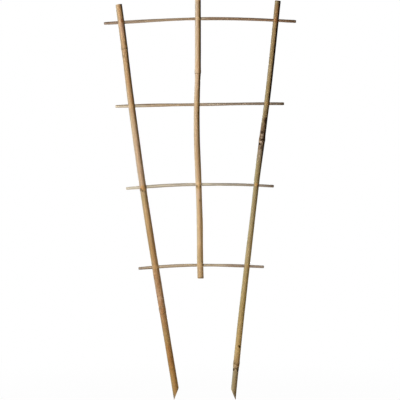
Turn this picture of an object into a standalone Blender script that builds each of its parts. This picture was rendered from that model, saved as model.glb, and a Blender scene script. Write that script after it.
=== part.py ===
"""Bamboo trellis for climbing plants: three canes drilled through, and four thin rungs threaded through them.

Metres, +Z up, +X to the right as seen from the front, +Y towards the back. The origin lies on the soil line,
midway between the two legs. Each cane has its own frame: its origin is the middle of the sawn top, and its
local -Z runs down the cane. Distances along a cane are measured down from that sawn top.
"""

import math
from dataclasses import dataclass

import bmesh
import bpy
from mathutils import Matrix, Vector

# The lattice as a whole
SOIL_DEPTH = 0.120  # the points of the legs, below the soil line
HOLE_PITCH = 0.1235  # from one drilled hole to the next, down a cane
LEG_TAIL = 0.2008  # leg below its last hole
CENTRE_TAIL = 0.0199  # centre cane below its last hole
CENTRE_RAISE = 0.0022  # the centre cane's holes, above the line between the legs' holes
LEFT_ABOVE_HOLE = 0.0272  # from the sawn top down to the first hole
CENTRE_ABOVE_HOLE = 0.0284
RIGHT_ABOVE_HOLE = 0.0296
TOP_SPREAD = 0.2388  # between the legs' axes at their sawn tops
TOP_SHIFT = -0.0061  # the middle of the tops, to the right of the origin
TIP_SPREAD = 0.0828  # between the legs' axes at their points
TIP_SHIFT = 0.0038  # the middle of the points, to the right of the origin
CENTRE_TOP_X = -0.0067  # the centre cane's axis at its sawn top
CENTRE_FOOT_X = -0.0030  # and at its sawn foot

# The canes
LEFT_DIAMETER = 0.0098
CENTRE_DIAMETER = 0.0089
RIGHT_DIAMETER = 0.0083
LEFT_BORE = 0.0038
CENTRE_BORE = 0.0034
RIGHT_BORE = 0.0030
BORE_REACH = 0.060  # how deep the hollow is followed from a sawn end, unless a node closes it sooner
DIAPHRAGM = 0.003  # thickness of the wall that closes the hollow at a node
FOOT_CUT_ANGLE = math.radians(29.5)  # between the slanted cut of a leg and the leg's axis
FOOT_TIP = 0.0005  # wall left at the very point

# The rungs
RUNG_DIAMETER = 0.0046
RUNG_GAP = 0.0003  # between a rung and the hole it is threaded through, all round
OVERHANG = 0.0255  # rung beyond the axis of the outer canes

# Facets
CANE_SIDES = 16
BORE_SIDES = 12
RUNG_SIDES = 12
DRILL_SIDES = 16
CANE_STEP = 0.022  # between rings along a cane
RUNG_STEP = 0.012  # between rings along a rung

# A node: (distance down the cane from it, share of its swelling there)
NODE_PROFILE = ((-0.010, 0.0), (-0.0035, 0.35), (-0.0008, 1.0), (0.0006, 0.45), (0.0020, 0.8), (0.010, 0.0))

HOLES = 4  # in each cane, one for each rung
DOWN = Vector((0, 0, -1))  # along a cane, in its own frame

# Finishes: plain bamboo, as linear colours
LEFT_COLOUR = (0.52, 0.32, 0.15)
CENTRE_COLOUR = (0.60, 0.40, 0.22)
RIGHT_COLOUR = (0.42, 0.30, 0.13)
RUNG_COLOUR = (0.48, 0.34, 0.22)
CANE_ROUGHNESS = 0.5
RUNG_ROUGHNESS = 0.6


def smooth(stations, share):
    """The value at a share of the way, on a smooth curve through stations of (share, value)."""
    shares = [s for s, _ in stations]
    values = [v for _, v in stations]
    last = len(stations) - 1
    k = max(i for i in range(last) if i == 0 or shares[i] <= share)

    def slope(i):
        low, high = max(i - 1, 0), min(i + 1, last)
        return (values[high] - values[low]) / (shares[high] - shares[low])

    span = shares[k + 1] - shares[k]
    start_slope, end_slope = slope(k) * span, slope(k + 1) * span
    return hermite((share - shares[k]) / span, values[k], values[k + 1], start_slope, end_slope)


def hermite(t, start, end, start_slope, end_slope):
    """A cubic from start to end as t goes from 0 to 1, with the slopes at both ends per unit of t."""
    rise = t * t * (3 - 2 * t)
    return start + (end - start) * rise + start_slope * t * (1 - t) ** 2 - end_slope * t * t * (1 - t)


@dataclass
class Cane:
    """One upright. The tables hold what grew by itself: bends, swellings and the drilling's small errors."""

    name: str
    colour: tuple
    diameter: float
    bore: float
    top_x: float
    foot_x: float
    foot_height: float
    above_hole: float
    tail: float  # below the last hole
    inner_side: int  # which way a leg's slanted cut faces, +1 for +X, or 0 where the foot is sawn square
    drilling_errors: tuple  # of each hole, down the cane
    nodes: tuple  # (distance down the cane, height of the swelling)
    sideways: tuple  # (share of the length, off the straight line towards +X)
    backwards: tuple  # (share of the length, off the straight line towards +Y)
    girth: tuple  # (share of the length, times the diameter)

    @property
    def holes(self):
        return [self.above_hole + k * HOLE_PITCH + self.drilling_errors[k] for k in range(HOLES)]

    @property
    def length(self):
        return self.holes[-1] + self.tail

    @property
    def lean(self):
        return math.asin((self.top_x - self.foot_x) / self.length)

    @property
    def matrix(self):
        top = Vector((self.top_x, 0, self.foot_height + self.length * math.cos(self.lean)))
        return Matrix.Translation(top) @ Matrix.Rotation(self.lean, 4, "Y")

    def hole_point(self, hole):
        """Where a hole crosses the cane's axis, in the trellis's frame."""
        return self.matrix @ self.axis(self.holes[hole])

    def axis(self, down):
        """The middle of the cane at a distance down it, in its own frame."""
        share = min(max(down / self.length, 0), 1)
        return Vector((smooth(self.sideways, share), smooth(self.backwards, share), -down))

    def radius(self, down):
        """Half the cane's thickness at a distance down it, with the swelling of a node there."""
        swelling = 0.0
        for place, height in self.nodes:
            from_node = down - place
            if NODE_PROFILE[0][0] < from_node < NODE_PROFILE[-1][0]:
                swelling += height * linear(NODE_PROFILE, from_node)
        return self.diameter / 2 * smooth(self.girth, down / self.length) + swelling

    def rings(self):
        """Distances down the cane where it gets a ring of points: evenly, and closer at each node."""
        steps = math.ceil(self.length / CANE_STEP)
        even = [self.length * k / steps for k in range(steps + 1)]
        ridges = [place + offset for place, _ in self.nodes for offset, _ in NODE_PROFILE]
        clear = [d for d in even if all(abs(d - ridge) > NODE_PROFILE[-1][0] / 2 for ridge in ridges)]
        inside = [d for d in ridges if 0 < d < self.length]
        return sorted({0.0, self.length, *clear, *inside})

    def hollows(self):
        """(from, to) distances down the cane of the hollow at each sawn end, as far as the next node."""
        walls = [place for place, _ in self.nodes if 0 < place < self.length]
        top_end = min([BORE_REACH, *(w - DIAPHRAGM / 2 for w in walls)])
        foot_start = max([self.length - BORE_REACH, *(w + DIAPHRAGM / 2 for w in walls)])
        return [(-self.bore, top_end), (foot_start, self.length + self.bore)]


def linear(stations, at):
    """The value at a place, on straight lines between stations of (place, value)."""
    for (left, low), (right, high) in zip(stations, stations[1:]):
        if left <= at <= right:
            return low + (high - low) * (at - left) / (right - left)
    return 0.0


LEFT = Cane(
    name="left_upright",
    colour=LEFT_COLOUR,
    diameter=LEFT_DIAMETER,
    bore=LEFT_BORE,
    top_x=TOP_SHIFT - TOP_SPREAD / 2,
    foot_x=TIP_SHIFT - TIP_SPREAD / 2,
    foot_height=-SOIL_DEPTH,
    above_hole=LEFT_ABOVE_HOLE,
    tail=LEG_TAIL,
    inner_side=1,
    drilling_errors=(0.0, 0.0027, 0.0022, 0.0001),
    nodes=((0.0664, 0.00025), (0.2785, 0.00035), (0.4640, 0.00025)),
    sideways=(
        (0, 0),
        (0.11, -0.0011),
        (0.24, -0.0030),
        (0.46, -0.0043),
        (0.60, -0.0038),
        (0.78, -0.0023),
        (1, -0.0002),
    ),
    backwards=((0, 0.0008), (0.25, -0.0008), (0.47, -0.0016), (0.78, 0.0004), (1, 0.0022)),
    girth=(
        (0, 1.01),
        (0.06, 1.04),
        (0.11, 1.025),
        (0.16, 0.98),
        (0.30, 1.05),
        (0.48, 1.04),
        (0.56, 1.05),
        (0.62, 1.035),
        (0.70, 1.085),
        (0.85, 1.0),
        (1, 1.03),
    ),
)
RIGHT = Cane(
    name="right_upright",
    colour=RIGHT_COLOUR,
    diameter=RIGHT_DIAMETER,
    bore=RIGHT_BORE,
    top_x=TOP_SHIFT + TOP_SPREAD / 2,
    foot_x=TIP_SHIFT + TIP_SPREAD / 2,
    foot_height=-SOIL_DEPTH,
    above_hole=RIGHT_ABOVE_HOLE,
    tail=LEG_TAIL,
    inner_side=-1,
    drilling_errors=(0.0, 0.0023, 0.0022, 0.0007),
    nodes=((0.2120, 0.00045), (0.5524, 0.00030)),
    sideways=(
        (0, 0),
        (0.15, 0.0009),
        (0.25, 0.0009),
        (0.35, -0.0001),
        (0.44, -0.0010),
        (0.50, -0.0009),
        (0.65, -0.0011),
        (0.82, -0.0009),
        (1, 0.0005),
    ),
    backwards=((0, 0.0015), (0.35, -0.0012), (0.65, -0.0006), (0.92, 0.0012), (1, 0.0010)),
    girth=(
        (0, 1.06),
        (0.10, 1.035),
        (0.29, 1.03),
        (0.35, 1.11),
        (0.45, 1.01),
        (0.53, 0.955),
        (0.66, 1.045),
        (0.86, 1.11),
        (0.91, 1.13),
        (0.935, 1.03),
        (1, 1.05),
    ),
)
# Height of the line between the legs' last holes, at its middle
LAST_HOLE_LINE = (LEFT.hole_point(-1).z + RIGHT.hole_point(-1).z) / 2
CENTRE = Cane(
    name="centre_upright",
    colour=CENTRE_COLOUR,
    diameter=CENTRE_DIAMETER,
    bore=CENTRE_BORE,
    top_x=CENTRE_TOP_X,
    foot_x=CENTRE_FOOT_X,
    foot_height=LAST_HOLE_LINE + CENTRE_RAISE - CENTRE_TAIL,
    above_hole=CENTRE_ABOVE_HOLE,
    tail=CENTRE_TAIL,
    inner_side=0,
    drilling_errors=(0.0, 0.0051, 0.0015, -0.0010),
    nodes=((0.1090, 0.0003),),
    sideways=(
        (0, 0),
        (0.26, -0.0011),
        (0.345, -0.0026),
        (0.42, -0.0034),
        (0.51, -0.0033),
        (0.65, -0.0016),
        (0.80, -0.0002),
        (0.93, -0.0002),
        (1, 0.0003),
    ),
    backwards=((0, -0.0012), (0.27, 0.0010), (0.60, 0.0018), (1, -0.0008)),
    girth=(
        (0, 1),
        (0.12, 1.03),
        (0.22, 1.03),
        (0.255, 1.055),
        (0.28, 0.955),
        (0.36, 1.0),
        (0.50, 1.04),
        (0.64, 1.06),
        (0.73, 1.0),
        (0.80, 1.07),
        (0.86, 1.04),
        (0.95, 1.07),
        (1, 1.05),
    ),
)
CANES = (LEFT, CENTRE, RIGHT)


@dataclass
class Rung:
    """One thin stick through the same hole of all three canes, bent between them and straight outside."""

    name: str
    hole: int
    slopes: tuple  # upwards per metre to the right, in the left, centre and right cane
    longer: tuple  # than the even overhang, at the left and the right end

    def crossings(self):
        """The points where the rung passes the canes' axes."""
        return [cane.hole_point(self.hole) for cane in CANES]

    def directions(self):
        """Which way the rung runs at each crossing."""
        left, centre, right = self.crossings()
        spans = [centre - left, right - left, right - centre]
        return [Vector((1, s.y / s.x, up)).normalized() for s, up in zip(spans, self.slopes)]

    def path(self):
        """Points along the rung's middle, each with its direction, from the left end to the right one."""
        at, toward = self.crossings(), self.directions()
        points = [(at[0] - toward[0] * (OVERHANG + self.longer[0]), toward[0])]
        for k in range(len(CANES) - 1):
            span = (at[k + 1] - at[k]).length
            steps = math.ceil(span / RUNG_STEP)
            for step in range(steps):
                points.append(bend(at[k], at[k + 1], toward[k] * span, toward[k + 1] * span, step / steps))
        points.append((at[-1], toward[-1]))
        points.append((at[-1] + toward[-1] * (OVERHANG + self.longer[1]), toward[-1]))
        return points


def bend(start, end, start_pull, end_pull, t):
    """A point on the bent stretch between two canes, and its direction there."""
    tiny = 1e-3  # of the stretch, to a second point that shows the direction
    here, near = (hermite(u, start, end, start_pull, end_pull) for u in (t, t + tiny))
    return here, (near - here).normalized()


RUNGS = (
    Rung("top_rung", 0, (0.058, 0.018, -0.052), (0.0003, 0.0048)),
    Rung("second_rung", 1, (0.036, 0.010, -0.004), (-0.0012, 0.0004)),
    Rung("third_rung", 2, (0.085, 0.004, -0.054), (0.0, 0.0009)),
    Rung("bottom_rung", 3, (0.080, 0.002, -0.044), (0.0, 0.0)),
)


def ring(centre, direction, radius):
    """A frame with the ring's middle, its own Z along the direction, and the radius as its scale."""
    turned = direction.to_track_quat("Z", "Y").to_matrix().to_4x4()
    return Matrix.Translation(centre) @ turned @ Matrix.Scale(radius, 4)


def grow(rings, sides):
    """A closed round body: a rim of points at the first ring, extruded to each ring in turn, and capped."""
    bm = bmesh.new()
    bmesh.ops.create_circle(bm, cap_ends=False, segments=sides, radius=1.0, matrix=rings[0])
    rim = bm.edges[:]
    bmesh.ops.contextual_create(bm, geom=rim)
    for before, after in zip(rings, rings[1:]):
        grown = bmesh.ops.extrude_edge_only(bm, edges=rim)["geom"]
        rim = [part for part in grown if isinstance(part, bmesh.types.BMEdge)]
        points = [part for part in grown if isinstance(part, bmesh.types.BMVert)]
        bmesh.ops.transform(bm, matrix=after @ before.inverted(), verts=points)
    bmesh.ops.contextual_create(bm, geom=rim)
    bmesh.ops.recalc_face_normals(bm, faces=bm.faces)
    return bm


def place(bm, name, parent, matrix=None):
    """The bmesh as a new object under a parent."""
    mesh = bpy.data.meshes.new(name)
    bm.to_mesh(mesh)
    bm.free()
    mesh.shade_smooth()
    mesh.set_sharp_from_angle(angle=math.radians(40))
    piece = bpy.data.objects.new(name, mesh)
    bpy.context.collection.objects.link(piece)
    piece.parent = parent
    piece.matrix_basis = matrix or Matrix.Identity(4)
    return piece


def finish(piece, colour, roughness):
    """A plain bamboo finish: a colour and a roughness."""
    material = bpy.data.materials.new(piece.name)
    material.use_nodes = True
    shader = material.node_tree.nodes["Principled BSDF"]
    shader.inputs["Base Color"].default_value = (*colour, 1.0)
    shader.inputs["Roughness"].default_value = roughness
    shader.inputs["Metallic"].default_value = 0.0
    piece.data.materials.append(material)


def cut(piece, tool):
    """Takes a tool's shape out of a piece."""
    tool.hide_render = True
    tool.display_type = "WIRE"
    modifier = piece.modifiers.new(tool.name, "BOOLEAN")
    modifier.operation = "DIFFERENCE"
    modifier.solver = "EXACT"
    modifier.object = tool


def slant_foot(bm, cane):
    """Cuts the leg's end to a point: the cut starts at the outer edge and rises to the inner one."""
    middle = cane.axis(cane.length)
    outer_edge = middle.x - cane.inner_side * (cane.radius(cane.length) - FOOT_TIP)
    normal = Vector((cane.inner_side * math.cos(FOOT_CUT_ANGLE), 0, -math.sin(FOOT_CUT_ANGLE)))
    whole = [*bm.verts, *bm.edges, *bm.faces]
    point = Vector((outer_edge, middle.y, middle.z))
    cut_line = bmesh.ops.bisect_plane(bm, geom=whole, plane_co=point, plane_no=normal, clear_outer=True)
    rim = [part for part in cut_line["geom_cut"] if isinstance(part, bmesh.types.BMEdge)]
    bmesh.ops.contextual_create(bm, geom=rim)
    bmesh.ops.recalc_face_normals(bm, faces=bm.faces)


def make_hollows(cane, upright):
    """The natural hollow behind each sawn end, up to the first node."""
    bm = bmesh.new()
    for start, end in cane.hollows():
        steps = math.ceil((end - start) / CANE_STEP)
        downs = [start + (end - start) * k / steps for k in range(steps + 1)]
        add(bm, grow([ring(cane.axis(d), DOWN, cane.bore / 2) for d in downs], BORE_SIDES))
    return place(bm, f"{cane.name}_hollows", upright)


def make_drillings(cane, upright):
    """The four holes drilled across the cane, each along the rung that it holds."""
    bm = bmesh.new()
    to_cane = cane.matrix.inverted()
    reach = 2 * cane.diameter
    for rung in RUNGS:
        k = CANES.index(cane)
        at, toward = to_cane @ rung.crossings()[k], to_cane.to_3x3() @ rung.directions()[k]
        ends = [ring(at + toward * way, toward, RUNG_DIAMETER / 2 + RUNG_GAP) for way in (-reach, reach)]
        add(bm, grow(ends, DRILL_SIDES))
    return place(bm, f"{cane.name}_drillings", upright)


def add(bm, other):
    """Puts another bmesh's shape into this one."""
    mesh = bpy.data.meshes.new("joined")
    other.to_mesh(mesh)
    other.free()
    bm.from_mesh(mesh)
    bpy.data.meshes.remove(mesh)


def make_cane(cane, parent):
    """A cane grown ring by ring, with its foot cut, its ends hollow and its four holes drilled."""
    bm = grow([ring(cane.axis(d), DOWN, cane.radius(d)) for d in cane.rings()], CANE_SIDES)
    if cane.inner_side:
        slant_foot(bm, cane)
    upright = place(bm, cane.name, parent, cane.matrix)
    cut(upright, make_hollows(cane, upright))
    cut(upright, make_drillings(cane, upright))
    return upright


def make_rung(rung, parent):
    """A rung bent to the three holes that it is threaded through, its ends sawn square."""
    middle = rung.crossings()[1]
    rings = [ring(point - middle, toward, RUNG_DIAMETER / 2) for point, toward in rung.path()]
    return place(grow(rings, RUNG_SIDES), rung.name, parent, Matrix.Translation(middle))


def main():
    for old in list(bpy.data.objects):
        bpy.data.objects.remove(old, do_unlink=True)
    trellis = bpy.data.objects.new("trellis", None)
    bpy.context.collection.objects.link(trellis)
    for cane in CANES:
        finish(make_cane(cane, trellis), cane.colour, CANE_ROUGHNESS)
    for rung in RUNGS:
        finish(make_rung(rung, trellis), RUNG_COLOUR, RUNG_ROUGHNESS)


main()
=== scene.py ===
# %% [markdown]
# # A bamboo trellis
#
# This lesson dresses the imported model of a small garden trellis: three drilled bamboo canes, and four thin
# sticks, the rungs, that are threaded through their holes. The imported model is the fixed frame. Each
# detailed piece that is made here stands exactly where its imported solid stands, in metres, with +Z up, +X
# to the right and +Y away from the camera. Down the page, first the canes are grown, then they are sawn
# and drilled, then come the rungs, the finishes, and at the end the floor, the light and the camera.

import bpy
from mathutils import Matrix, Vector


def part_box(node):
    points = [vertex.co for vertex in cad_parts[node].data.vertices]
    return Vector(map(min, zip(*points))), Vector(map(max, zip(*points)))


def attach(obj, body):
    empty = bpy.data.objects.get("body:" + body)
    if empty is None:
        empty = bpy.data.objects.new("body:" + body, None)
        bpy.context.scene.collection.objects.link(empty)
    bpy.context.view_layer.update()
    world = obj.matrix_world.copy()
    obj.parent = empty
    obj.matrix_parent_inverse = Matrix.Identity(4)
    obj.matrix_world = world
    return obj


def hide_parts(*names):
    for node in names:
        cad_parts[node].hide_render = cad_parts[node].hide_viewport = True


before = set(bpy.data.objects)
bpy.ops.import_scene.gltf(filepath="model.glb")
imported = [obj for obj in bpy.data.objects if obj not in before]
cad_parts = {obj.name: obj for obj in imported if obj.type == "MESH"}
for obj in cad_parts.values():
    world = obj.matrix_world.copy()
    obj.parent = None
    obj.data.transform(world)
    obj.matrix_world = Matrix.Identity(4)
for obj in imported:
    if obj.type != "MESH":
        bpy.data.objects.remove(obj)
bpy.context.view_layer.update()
print("packed pieces:", ", ".join(sorted(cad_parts)))

# %% What the lesson uses
import math
from dataclasses import dataclass

import bmesh
import bpy
from mathutils import Matrix, Vector, noise
from mathutils.bvhtree import BVHTree

MM = 0.001
FULL_TURN = 2 * math.pi

# %% [markdown]
# ## Curves that things grow along
#
# A garden cane is never straight. It was cut from a living culm that bent towards the light, and its
# thickness changes a little between one joint and the next. Sine waves would look machine made, and a
# simulation would be hard to steer. A short table of chosen values with a smooth curve through them is easy
# to steer: the table says where the cane bends, and the curve makes the bend soft.

# %% A smooth curve through chosen values


def hermite(t, start, end, start_slope, end_slope):
    """A cubic from start to end as t goes from 0 to 1, with the slopes at both ends per unit of t."""
    rise = t * t * (3 - 2 * t)
    return start + (end - start) * rise + start_slope * t * (1 - t) ** 2 - end_slope * t * t * (1 - t)


def smooth(stations, share):
    """The value at a share of the way, on a smooth curve through stations of (share, value)."""
    shares = [s for s, _ in stations]
    values = [v for _, v in stations]
    last = len(stations) - 1
    k = max(i for i in range(last) if i == 0 or shares[i] <= share)

    def slope(i):
        low, high = max(i - 1, 0), min(i + 1, last)
        return (values[high] - values[low]) / (shares[high] - shares[low])

    span = shares[k + 1] - shares[k]
    start_slope, end_slope = slope(k) * span, slope(k + 1) * span
    return hermite((share - shares[k]) / span, values[k], values[k + 1], start_slope, end_slope)


def fade(value, start, end):
    """0 before start, 1 after end, and a soft step between them. Works downwards too."""
    t = min(max((value - start) / (end - start), 0.0), 1.0)
    return t * t * (3 - 2 * t)


print("half way up a soft step:", fade(0.5, 0.0, 1.0))

# %% [markdown]
# ## The lattice
#
# The two outer canes lean outwards, like a V, and the centre cane stands upright between them. All three are
# drilled at nearly the same pitch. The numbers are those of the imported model, because the script can't read
# its source, and each is written once. Distances along a cane are measured down from its sawn top.

# %% Sizes of the lattice
HOLE_PITCH = 0.1235
LEG_TAIL = 0.2008  # leg below its last hole
CENTRE_TAIL = 0.0199
CENTRE_RAISE = 0.0022  # the centre cane's holes, above the line between the legs' holes
SOIL_DEPTH = 0.120
TOP_SPREAD, TOP_SHIFT = 0.2388, -0.0061
TIP_SPREAD, TIP_SHIFT = 0.0828, 0.0038
RUNG_DIAMETER = 0.0046
RUNG_GAP = 0.0003  # in its drilled hole, all round
OVERHANG = 0.0255  # rung beyond the axis of the outer canes
BORE_REACH = 0.060  # hollow behind a sawn end
DIAPHRAGM = 0.003
FOOT_CUT_ANGLE = math.radians(29.5)
FOOT_TIP = 0.0005
HOLES = 4
DOWN = Vector((0, 0, -1))

# %% [markdown]
# ## What one cane knows
#
# On the real thing each cane is one piece of bamboo with a few joints, which growers call nodes. A node has
# two rings: a soft ridge, and a few millimetres lower a thin sharp scar where the leaf sheath was. The scar
# dips under the bud. A small class holds the tables of one cane and answers questions about it, such as
# where its middle runs and how thick it is there. That keeps growing, drilling and colouring in step.

# %% One node and one cane
RIDGE_REACH = 3.4 * MM  # of the soft ring, up and down
LIP_ABOVE, LIP_BELOW = 1.3 * MM, 0.3 * MM  # the scar's lip starts softly and ends sharply
CREASE_BELOW, CREASE_REACH = 0.55 * MM, 0.35 * MM  # under the lip
CREASE_DEPTH = 0.45  # share of the lip's height
BUD_WIDTH = 0.07  # of a turn


@dataclass
class Node:
    """One joint of a cane."""

    down: float  # the middle between its two rings
    ridge: float  # height of the soft upper ring
    scar: float  # height of the thin lower ring
    gap: float  # between the rings
    dip: float  # how far the scar dips under the bud, or rises when negative
    bud: float  # which way the bud faces: 0 is +X, a quarter turn on is +Y
    line_strength: float = 0.6
    line_width: float = 0.8  # millimetres

    def rise(self, down, turn):
        """How far the node lifts the skin at a place on the cane."""
        from_ridge = (down - self.down + self.gap / 2) / RIDGE_REACH
        under_bud = math.exp(-((wrapped(turn - self.bud) / BUD_WIDTH) ** 2))
        below_scar = down - self.down - self.gap / 2 - self.dip * under_bud
        if below_scar < 0:
            lip = max(1 + below_scar / LIP_ABOVE, 0) ** 2
        else:
            lip = max(1 - below_scar / LIP_BELOW, 0)
        crease = math.exp(-(((below_scar - CREASE_BELOW) / CREASE_REACH) ** 2))
        return self.ridge * math.exp(-from_ridge * from_ridge) + self.scar * (lip - CREASE_DEPTH * crease)


def wrapped(turns):
    """A difference of turns brought between -0.5 and 0.5."""
    return (turns + 0.5) % 1.0 - 0.5


@dataclass
class Cane:
    """One upright of the trellis."""

    node: str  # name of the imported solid
    slot: str
    diameter: float
    bore: float
    top_x: float
    foot_x: float
    foot_height: float
    above_hole: float  # from the sawn top down to the first hole
    tail: float  # below the last hole
    inner_side: int  # which way the slanted cut faces, or 0 for a foot sawn square
    drilling_errors: tuple  # of each hole, downwards
    nodes: tuple
    sideways: tuple  # (share of the length, how far the middle lies to the right of a straight line)
    backwards: tuple  # the same, away from the camera
    girth: tuple  # (share of the length, times the diameter)
    seed: float

    @property
    def holes(self):
        return [self.above_hole + k * HOLE_PITCH + self.drilling_errors[k] for k in range(HOLES)]

    @property
    def length(self):
        return self.holes[-1] + self.tail

    @property
    def matrix(self):
        lean = math.asin((self.top_x - self.foot_x) / self.length)
        top = Vector((self.top_x, 0, self.foot_height + self.length * math.cos(lean)))
        return Matrix.Translation(top) @ Matrix.Rotation(lean, 4, "Y")

    def axis(self, down):
        """The middle of the cane at a distance down it, in its own frame."""
        share = min(max(down / self.length, 0), 1)
        return Vector((smooth(self.sideways, share), smooth(self.backwards, share), -down))

    def thickness(self, down):
        """Half the cane's thickness between its nodes."""
        return self.diameter / 2 * smooth(self.girth, min(max(down / self.length, 0), 1))

    def hole_point(self, hole):
        return self.matrix @ self.axis(self.holes[hole])


# %% [markdown]
# ## The three canes
#
# The left cane is the thickest and bows to the left. The centre one is pale, with one node near the top
# and a kink below it. The right one is olive, and has a strong node near its foot.

# %% The left and the right cane
LEFT = Cane(
    node="left_upright",
    slot="tan_cane",
    diameter=0.0098,
    bore=0.0038,
    top_x=TOP_SHIFT - TOP_SPREAD / 2,
    foot_x=TIP_SHIFT - TIP_SPREAD / 2,
    foot_height=-SOIL_DEPTH,
    above_hole=0.0272,
    tail=LEG_TAIL,
    inner_side=1,
    drilling_errors=(0.0, 0.0027, 0.0022, 0.0001),
    nodes=(
        Node(0.0664, 0.00014, 0.00012, 0.0014, 0.0004, 0.55, line_strength=0.65),
        Node(0.2785, 0.00032, 0.00022, 0.0042, 0.0030, 0.80, line_width=1.0),
        Node(0.4640, 0.00022, 0.00014, 0.0045, 0.0022, 0.70),
    ),
    sideways=(
        (0, 0), (0.11, -0.0011), (0.24, -0.0030), (0.46, -0.0043), (0.60, -0.0038), (0.78, -0.0023),
        (1, -0.0002),
    ),
    backwards=((0, 0.0008), (0.25, -0.0008), (0.47, -0.0016), (0.78, 0.0004), (1, 0.0022)),
    girth=(
        (0, 1.01), (0.06, 1.04), (0.11, 1.025), (0.16, 0.98), (0.30, 1.05), (0.48, 1.04), (0.56, 1.05),
        (0.62, 1.035), (0.70, 1.085), (0.85, 1.0), (1, 1.03),
    ),
    seed=3.0,
)
RIGHT = Cane(
    node="right_upright",
    slot="olive_cane",
    diameter=0.0083,
    bore=0.0030,
    top_x=TOP_SHIFT + TOP_SPREAD / 2,
    foot_x=TIP_SHIFT + TIP_SPREAD / 2,
    foot_height=-SOIL_DEPTH,
    above_hole=0.0296,
    tail=LEG_TAIL,
    inner_side=-1,
    drilling_errors=(0.0, 0.0023, 0.0022, 0.0007),
    nodes=(
        Node(0.2120, 0.00036, 0.00022, 0.0045, 0.0010, 0.05),
        Node(0.5524, 0.00036, 0.00034, 0.0090, -0.0026, 0.75, line_strength=0.75, line_width=1.3),
    ),
    sideways=(
        (0, 0), (0.15, 0.0009), (0.25, 0.0009), (0.35, -0.0001), (0.44, -0.0010), (0.50, -0.0009),
        (0.65, -0.0011), (0.82, -0.0009), (1, 0.0005),
    ),
    backwards=((0, 0.0015), (0.35, -0.0012), (0.65, -0.0006), (0.92, 0.0012), (1, 0.0010)),
    girth=(
        (0, 1.06), (0.10, 1.035), (0.29, 1.03), (0.35, 1.11), (0.45, 1.01), (0.53, 0.955), (0.66, 1.045),
        (0.86, 1.11), (0.91, 1.13), (0.935, 1.03), (1, 1.05),
    ),
    seed=17.0,
)

# %% The centre cane
LAST_HOLE_LINE = (LEFT.hole_point(-1).z + RIGHT.hole_point(-1).z) / 2
CENTRE = Cane(
    node="centre_upright",
    slot="pale_cane",
    diameter=0.0089,
    bore=0.0034,
    top_x=-0.0067,
    foot_x=-0.0030,
    foot_height=LAST_HOLE_LINE + CENTRE_RAISE - CENTRE_TAIL,
    above_hole=0.0284,
    tail=CENTRE_TAIL,
    inner_side=0,
    drilling_errors=(0.0, 0.0051, 0.0015, -0.0010),
    nodes=(Node(0.1088, 0.00028, 0.00022, 0.0028, 0.0005, 0.30, line_strength=0.75, line_width=0.9),),
    sideways=(
        (0, 0), (0.26, -0.0011), (0.345, -0.0026), (0.42, -0.0034), (0.51, -0.0033), (0.65, -0.0016),
        (0.80, -0.0002), (0.93, -0.0002), (1, 0.0003),
    ),
    backwards=((0, -0.0012), (0.27, 0.0010), (0.60, 0.0018), (1, -0.0008)),
    girth=(
        (0, 1), (0.12, 1.03), (0.22, 1.03), (0.255, 1.055), (0.28, 0.955), (0.36, 1.0), (0.50, 1.04),
        (0.64, 1.06), (0.73, 1.0), (0.80, 1.07), (0.86, 1.04), (0.95, 1.07), (1, 1.05),
    ),
    seed=41.0,
)
CANES = (LEFT, CENTRE, RIGHT)
for cane in CANES:
    print(cane.node, f"{cane.length * 1000:.1f} mm long, holes at", [round(h * 1000, 1) for h in cane.holes])

# %% [markdown]
# ## Rolling a sheet into a tube
#
# A cane could be extruded ring by ring, but several hundred rings make that slow. Here a flat grid is rolled
# up instead: one side of the sheet becomes the way round, the other the way along, and the two long edges
# are welded where they meet. The same tool then makes canes, hollows, drill holes and rungs, and only the
# rule that places a point of the sheet is different.

# %% The roll tool
WELD = 1e-7


def roll(rows, sides, place):
    """A sheet rolled into a closed tube. place(row, turn) gives a point, with turn from 0 to 1."""
    bm = bmesh.new()
    bmesh.ops.create_grid(bm, x_segments=sides, y_segments=len(rows) - 1, size=0.5)
    for point in bm.verts:
        turn, along = point.co.x + 0.5, point.co.y + 0.5
        point.co = place(rows[round(along * (len(rows) - 1))], turn % 1.0)
    bmesh.ops.remove_doubles(bm, verts=bm.verts, dist=WELD)
    bmesh.ops.holes_fill(bm, edges=[e for e in bm.edges if e.is_boundary], sides=0)
    bmesh.ops.recalc_face_normals(bm, faces=bm.faces)
    return bm


def round_about(middle, turn, radius):
    """A point at a turn round the middle, level in the piece's own frame."""
    angle = turn * FULL_TURN
    return middle + Vector((math.cos(angle), math.sin(angle), 0)) * radius


trial = roll([0.0, 0.01, 0.02], 12, lambda row, turn: round_about(Vector((0, 0, row)), turn, 0.004))
open_edges = sum(edge.is_boundary for edge in trial.edges)
print("a trial tube has", len(trial.faces), "faces and", open_edges, "open edges")
trial.free()

# %% [markdown]
# ## Growing a cane
#
# The rows of the sheet lie close together where something small happens, at the nodes, the drilled holes
# and the sawn ends, and wider apart on the plain stretches. Each row remembers its middle and thickness, so
# these are worked out once and not again for every point of the ring. The skin is never perfectly round: it
# is slightly oval, has long shallow swells, and above each node lies the flat groove that the bud pressed
# into the young culm.

# %% Rows of the sheet
CANE_SIDES = 56
PLAIN_STEP = 2.2 * MM
FINE_STEPS = (  # how far a fine stretch reaches, and its step
    (8 * MM, 0.28 * MM),  # at a node
    (6 * MM, 0.6 * MM),  # at a hole
    (2 * MM, 0.3 * MM),  # at an end
)


@dataclass
class Row:
    """One ring of points across a cane."""

    down: float
    middle: Vector
    radius: float


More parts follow.
